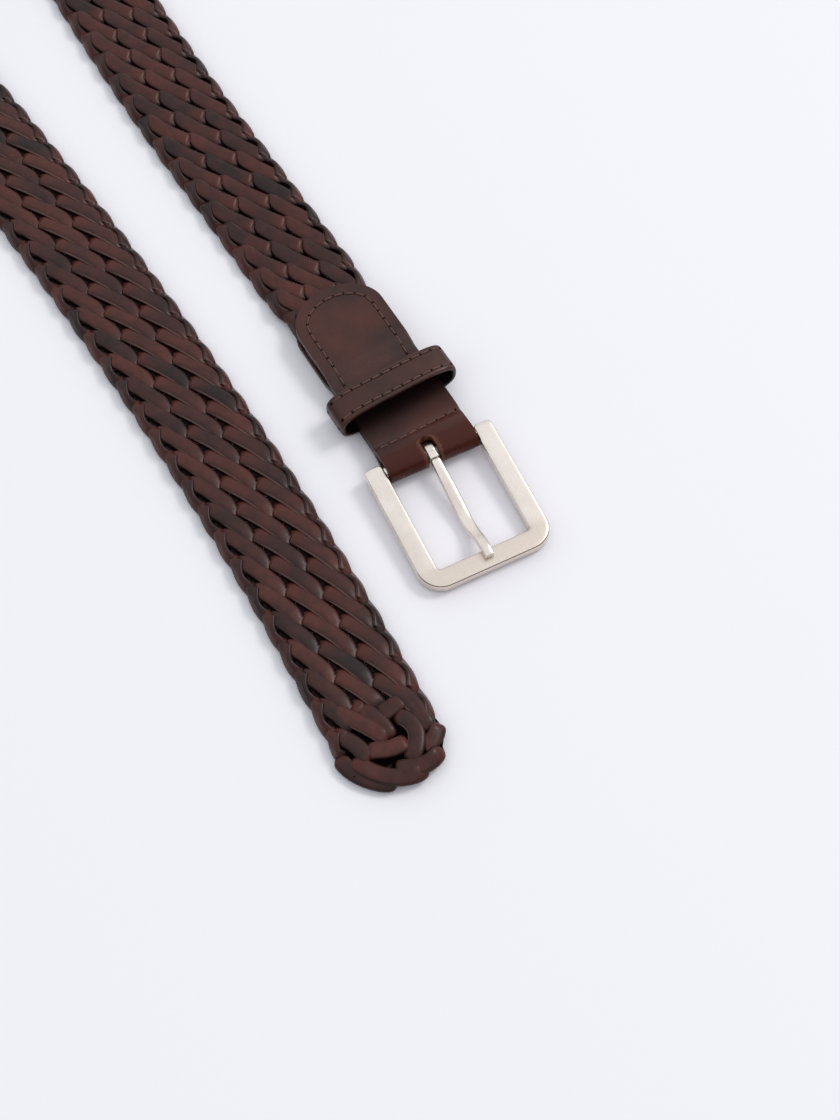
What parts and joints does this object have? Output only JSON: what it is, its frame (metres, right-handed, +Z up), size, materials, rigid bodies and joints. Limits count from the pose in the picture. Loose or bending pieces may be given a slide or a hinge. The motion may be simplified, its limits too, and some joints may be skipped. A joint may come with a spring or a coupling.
{
  "type": "braided leather belt",
  "caption": "Flat braided leather belt with a folded buckle tab, a keeper loop and a rectangular pin buckle, lying in an open loop.",
  "frame": {"origin": "middle of the whole belt's box, on the surface that it lies on", "axes": "+X towards the buckle's far bar and the tip, +Y from the tip's stretch to the buckle's stretch, +Z up off the surface"},
  "size_m": [0.526, 0.1512, 0.0347],
  "materials": {
    "plaited_leather": "smooth dark brown leather strips, edges slightly polished",
    "tab_leather": "smooth polished reddish brown leather",
    "keeper_leather": "smooth polished reddish brown leather with dark cut edges",
    "buckle_metal": "satin nickel plate",
    "prong_metal": "polished nickel plate"
  },
  "bodies": {
    "strap": {"braid": "plaited_leather", "strap_tab": "tab_leather", "keeper": "keeper_leather"},
    "frame": {"buckle_frame": "buckle_metal"},
    "pin": {"prong": "prong_metal"}
  },
  "joints": [
    {"name": "frame_swing", "type": "hinge", "parent": "strap", "child": "frame", "pos_m": [0.16743, 0.05293, 0.0041], "axis": [0, -1, 0], "range_deg": [0, 50]},
    {"name": "prong_swing", "type": "hinge", "parent": "frame", "child": "pin", "pos_m": [0.16743, 0.05293, 0.0041], "axis": [0, -1, 0], "range_deg": [0, 55]}
  ]
}
